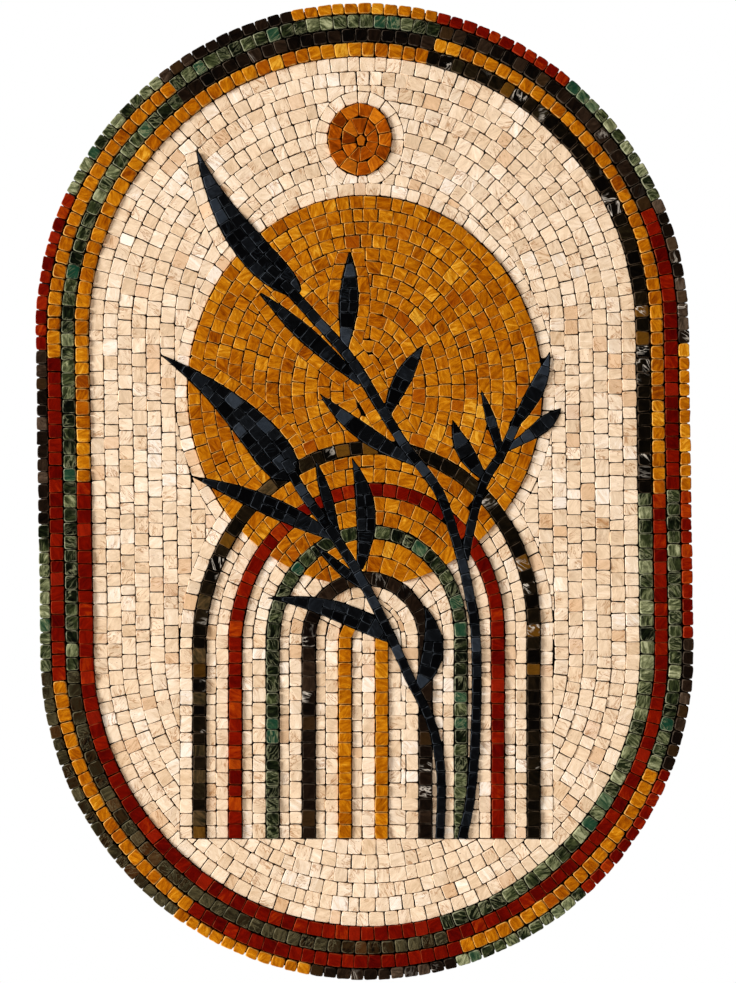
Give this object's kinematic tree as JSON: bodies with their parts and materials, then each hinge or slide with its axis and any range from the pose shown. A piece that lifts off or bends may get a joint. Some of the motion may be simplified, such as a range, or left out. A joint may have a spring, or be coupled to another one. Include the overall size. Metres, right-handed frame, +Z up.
{
  "type": "mosaic panel",
  "caption": "Upright wall panel with round ends, set with square-cut stones: a sun, a disc, nested arches and two leaf sprigs in a banded border.",
  "frame": {"origin": "middle of the flat back, where the panel is fixed to a wall", "axes": "+X to the right as seen from the front, +Y out of the back into the wall, +Z up"},
  "size_m": [0.5136, 0.0115, 0.762],
  "materials": {
    "bed": "matte",
    "cream_stone": "satin",
    "ochre_stone": "satin",
    "burnt_orange_stone": "satin",
    "red_stone": "satin",
    "green_stone": "satin",
    "olive_stone": "satin",
    "brown_stone": "satin",
    "dark_stone": "satin",
    "slate_stone": "satin"
  },
  "bodies": {
    "root": {"arch_brown_1": "brown_stone", "arch_brown_2": "brown_stone", "arch_dark_1": "dark_stone", "arch_dark_2": "dark_stone", "arch_green_1": "green_stone", "arch_green_2": "green_stone", "arch_ochre_1": "ochre_stone", "arch_ochre_2": "ochre_stone", "arch_red_1": "red_stone", "arch_red_2": "red_stone", "backing": "bed", "border_row_1_run_10_dark": "dark_stone", "border_row_1_run_11_ochre": "ochre_stone", "border_row_1_run_12_olive": "olive_stone", "border_row_1_run_13_green": "green_stone", "border_row_1_run_14_dark": "dark_stone", "border_row_1_run_15_red": "red_stone", "border_row_1_run_16_green": "green_stone", "border_row_1_run_17_dark": "dark_stone", "border_row_1_run_1_ochre": "ochre_stone", "border_row_1_run_2_red": "red_stone", "border_row_1_run_3_green": "green_stone", "border_row_1_run_4_dark": "dark_stone", "border_row_1_run_5_ochre": "ochre_stone", "border_row_1_run_6_red": "red_stone", "border_row_1_run_7_dark": "dark_stone", "border_row_1_run_8_red": "red_stone", "border_row_1_run_9_green": "green_stone", "border_row_2_run_1_green": "green_stone", "border_row_2_run_2_dark": "dark_stone", "border_row_2_run_3_red": "red_stone", "border_row_2_run_4_green": "green_stone", "border_row_2_run_5_ochre": "ochre_stone", "border_row_2_run_6_red": "red_stone", "border_row_2_run_7_ochre": "ochre_stone", "border_row_2_run_8_red": "red_stone", "border_row_2_run_9_ochre": "ochre_stone", "border_row_3_run_1_dark": "dark_stone", "border_row_3_run_2_ochre": "ochre_stone", "border_row_3_run_3_red": "red_stone", "border_row_3_run_4_olive": "olive_stone", "border_row_3_run_5_green": "green_stone", "border_row_4_run_1_brown": "brown_stone", "border_row_4_run_2_green": "green_stone", "border_row_4_run_3_red": "red_stone", "border_row_4_run_4_ochre": "ochre_stone", "disc_1": "ochre_stone", "disc_2": "ochre_stone", "disc_3": "ochre_stone", "disc_4": "ochre_stone", "disc_5": "ochre_stone", "disc_6": "ochre_stone", "disc_7": "ochre_stone", "field_1": "cream_stone", "field_2": "cream_stone", "sprig_left": "slate_stone", "sprig_right": "slate_stone", "sun": "burnt_orange_stone"}
  },
  "joints": []
}
